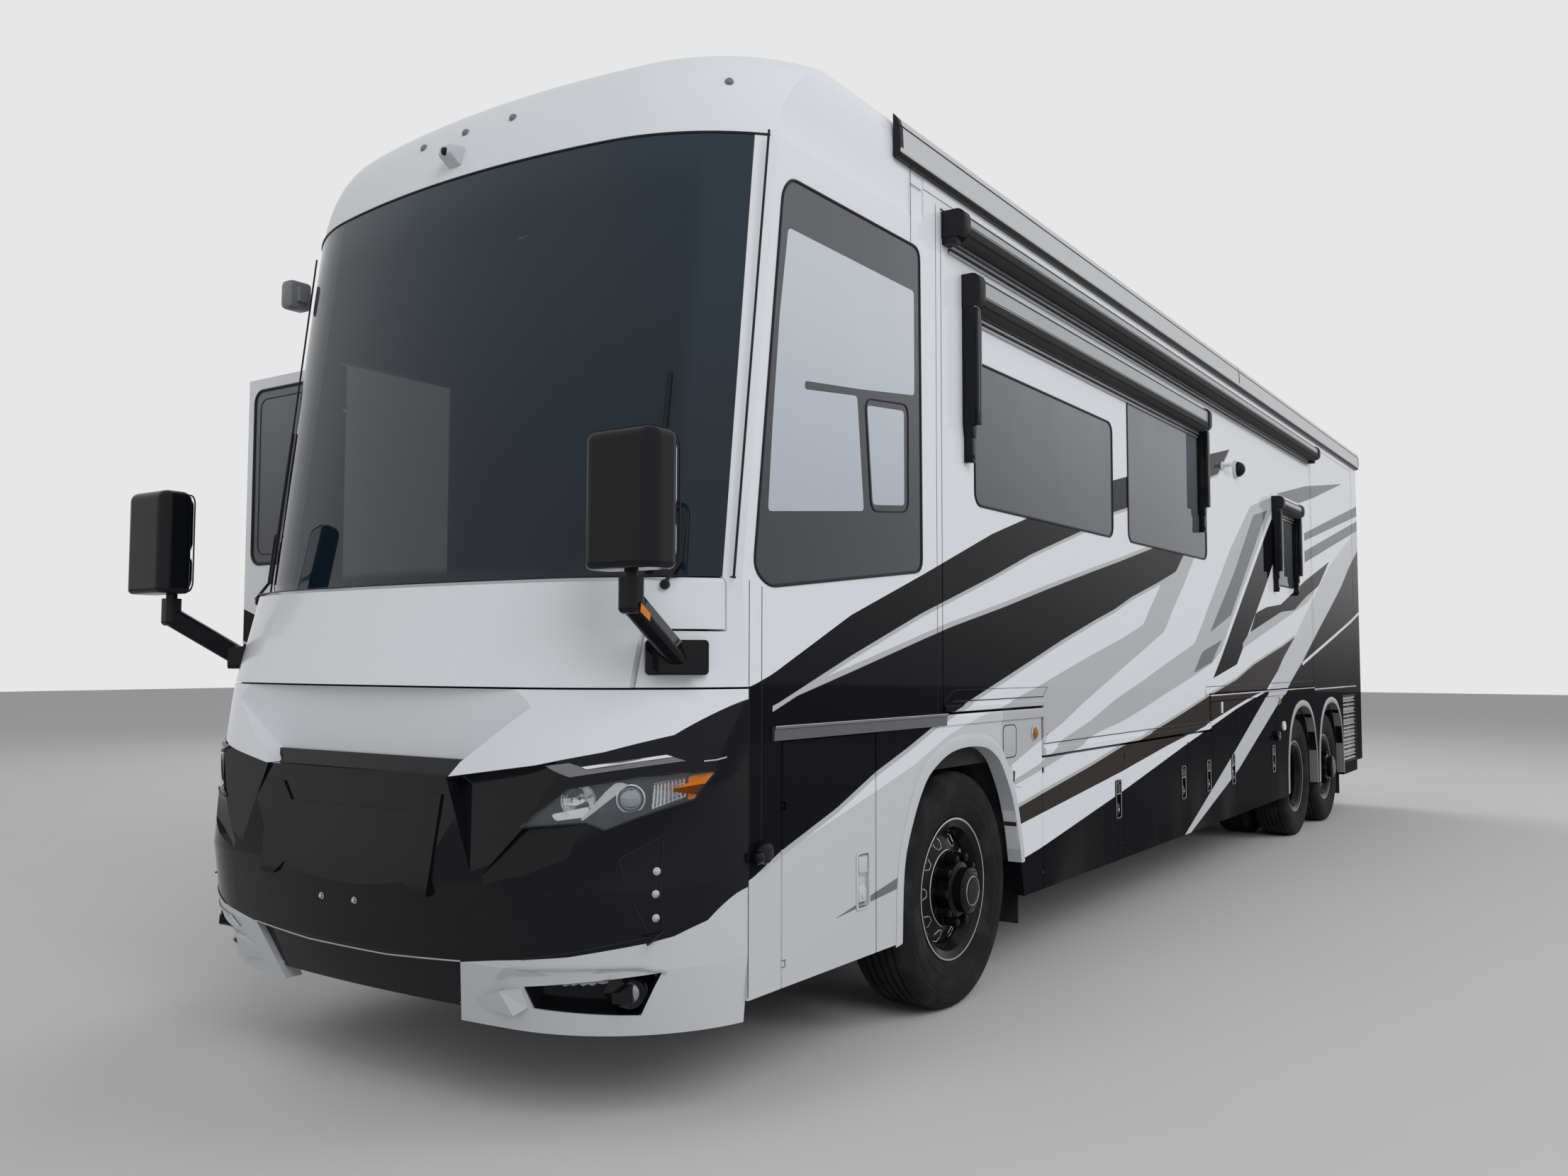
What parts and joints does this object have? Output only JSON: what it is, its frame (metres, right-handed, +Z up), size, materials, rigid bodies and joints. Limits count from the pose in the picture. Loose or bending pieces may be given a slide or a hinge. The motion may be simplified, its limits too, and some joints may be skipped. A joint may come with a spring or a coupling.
{
  "type": "motorhome",
  "caption": "Full-size motorhome with a tall one-piece windscreen, tag axle, retracted slide-out room, side bay doors, rolled awnings and an open entry door.",
  "frame": {"origin": "middle of the footprint box at ground level, under the wheels", "axes": "+X towards the nose, +Y towards the driver's side (left), +Z up"},
  "size_m": [12.09, 3.374, 4.045],
  "materials": {
    "chassis_black": "satin",
    "engine_grey": "matte",
    "floor_board": "satin",
    "body_white": "gloss",
    "roof_white": "satin",
    "gloss_black": "gloss",
    "dark_glass": "clear tint",
    "lamp_glass": "clear",
    "tail_red": "gloss",
    "trim_chrome": "polished",
    "awning_silver": "satin",
    "cab_plastic": "matte",
    "cab_leather": "satin",
    "flap_rubber": "matte",
    "tyre_black": "matte",
    "wheel_black": "gloss black coat"
  },
  "bodies": {
    "coach": {"chassis_frame": "chassis_black", "hitch_receiver": "chassis_black", "front_axle": "chassis_black", "drive_axle": "chassis_black", "tag_axle": "chassis_black", "engine": "engine_grey", "floor": "floor_board", "entry_steps": "floor_board", "basement": "chassis_black", "left_wall": "body_white", "right_wall": "body_white", "roof": "roof_white", "roof_units": "roof_white", "front_cap": "body_white", "windscreen": "dark_glass", "side_glass": "dark_glass", "nose_panel": "body_white", "mask": "gloss_black", "bumper": "body_white", "headlamps": "lamp_glass", "skirts": "body_white", "side_grilles": "trim_chrome", "roof_awnings": "awning_silver", "rear_cap": "body_white", "tail_lamps": "tail_red", "mirror_left": "gloss_black", "mirror_right": "gloss_black", "dashboard": "cab_plastic", "steering_wheel": "cab_plastic", "cab_seats": "cab_leather", "mud_flaps": "flap_rubber"},
    "knuckle_left": {"knuckle_left": "chassis_black"},
    "wheel_front_left": {"tyre_front_left": "tyre_black", "wheel_front_left": "wheel_black"},
    "wheel_drive_left": {"tyre_drive_left": "tyre_black", "wheel_drive_left": "wheel_black"},
    "wheel_tag_left": {"tyre_tag_left": "tyre_black", "wheel_tag_left": "wheel_black"},
    "knuckle_right": {"knuckle_right": "chassis_black"},
    "wheel_front_right": {"tyre_front_right": "tyre_black", "wheel_front_right": "wheel_black"},
    "wheel_drive_right": {"tyre_drive_right": "tyre_black", "wheel_drive_right": "wheel_black"},
    "wheel_tag_right": {"tyre_tag_right": "tyre_black", "wheel_tag_right": "wheel_black"},
    "entry_door": {"entry_door": "body_white", "entry_glass": "dark_glass"},
    "slide_out": {"slide_room": "body_white", "slide_glass": "dark_glass", "slide_awnings": "awning_silver"},
    "engine_door": {"engine_door": "body_white"},
    "bay_left_1": {"bay_left_1": "body_white"},
    "bay_left_2": {"bay_left_2": "body_white"},
    "bay_left_3": {"bay_left_3": "body_white"},
    "bay_left_4": {"bay_left_4": "body_white"},
    "bay_left_5": {"bay_left_5": "body_white"},
    "bay_left_6": {"bay_left_6": "body_white"},
    "bay_right_1": {"bay_right_1": "body_white"},
    "bay_right_2": {"bay_right_2": "body_white"},
    "bay_right_3": {"bay_right_3": "body_white"}
  },
  "joints": [
    {"name": "steer_left", "type": "hinge", "parent": "coach", "child": "knuckle_left", "pos_m": [3.715, 1.207, 0.515], "axis": [0, 0, 1], "range_deg": [-35, 35]},
    {"name": "steer_right", "type": "hinge", "parent": "coach", "child": "knuckle_right", "pos_m": [3.715, -0.673, 0.515], "axis": [0, 0, 1], "range_deg": [-35, 35]},
    {"name": "roll_front_left", "type": "hinge", "parent": "knuckle_left", "child": "wheel_front_left", "pos_m": [3.715, 1.355, 0.515], "axis": [0, 1, 0], "continuous": true},
    {"name": "roll_drive_left", "type": "hinge", "parent": "coach", "child": "wheel_drive_left", "pos_m": [-2.963, 1.355, 0.515], "axis": [0, 1, 0], "continuous": true},
    {"name": "roll_tag_left", "type": "hinge", "parent": "coach", "child": "wheel_tag_left", "pos_m": [-4.203, 1.355, 0.515], "axis": [0, 1, 0], "continuous": true},
    {"name": "roll_front_right", "type": "hinge", "parent": "knuckle_right", "child": "wheel_front_right", "pos_m": [3.715, -0.821, 0.515], "axis": [0, 1, 0], "continuous": true},
    {"name": "roll_drive_right", "type": "hinge", "parent": "coach", "child": "wheel_drive_right", "pos_m": [-2.963, -0.821, 0.515], "axis": [0, 1, 0], "continuous": true},
    {"name": "roll_tag_right", "type": "hinge", "parent": "coach", "child": "wheel_tag_right", "pos_m": [-4.203, -0.821, 0.515], "axis": [0, 1, 0], "continuous": true},
    {"name": "entry_door_swing", "type": "hinge", "parent": "coach", "child": "entry_door", "pos_m": [5.153, -1.007, 1.7], "axis": [0, 0, -1], "range_deg": [0, 90]},
    {"name": "slide_out_travel", "type": "slide", "parent": "coach", "child": "slide_out", "axis": [0, 1, 0], "range_m": [0, 0.6]},
    {"name": "engine_door_lift", "type": "hinge", "parent": "coach", "child": "engine_door", "pos_m": [-5.936, 0.267, 1.685], "axis": [0, 1, 0], "range_deg": [0, 80]},
    {"name": "bay_left_1_swing", "type": "hinge", "parent": "coach", "child": "bay_left_1", "pos_m": [5.166, 1.541, 0.48], "axis": [0, 0, -1], "range_deg": [0, 85]},
    {"name": "bay_left_2_swing", "type": "hinge", "parent": "coach", "child": "bay_left_2", "pos_m": [2.873, 1.541, 0.48], "axis": [0, 0, -1], "range_deg": [0, 85]},
    {"name": "bay_left_3_swing", "type": "hinge", "parent": "coach", "child": "bay_left_3", "pos_m": [1.684, 1.541, 0.48], "axis": [0, 0, -1], "range_deg": [0, 85]},
    {"name": "bay_left_4_swing", "type": "hinge", "parent": "coach", "child": "bay_left_4", "pos_m": [0.451, 1.541, 0.48], "axis": [0, 0, -1], "range_deg": [0, 85]},
    {"name": "bay_left_5_swing", "type": "hinge", "parent": "coach", "child": "bay_left_5", "pos_m": [-0.128, 1.541, 0.48], "axis": [0, 0, -1], "range_deg": [0, 85]},
    {"name": "bay_left_6_swing", "type": "hinge", "parent": "coach", "child": "bay_left_6", "pos_m": [-0.759, 1.541, 0.48], "axis": [0, 0, -1], "range_deg": [0, 85]},
    {"name": "bay_right_1_swing", "type": "hinge", "parent": "coach", "child": "bay_right_1", "pos_m": [2.873, -1.007, 0.48], "axis": [0, 0, 1], "range_deg": [0, 85]},
    {"name": "bay_right_2_swing", "type": "hinge", "parent": "coach", "child": "bay_right_2", "pos_m": [1.254, -1.007, 0.48], "axis": [0, 0, 1], "range_deg": [0, 85]},
    {"name": "bay_right_3_swing", "type": "hinge", "parent": "coach", "child": "bay_right_3", "pos_m": [-0.365, -1.007, 0.48], "axis": [0, 0, 1], "range_deg": [0, 85]}
  ],
  "couplings": [
    {"joint": "steer_right", "follows": "steer_left", "ratio": 1}
  ]
}
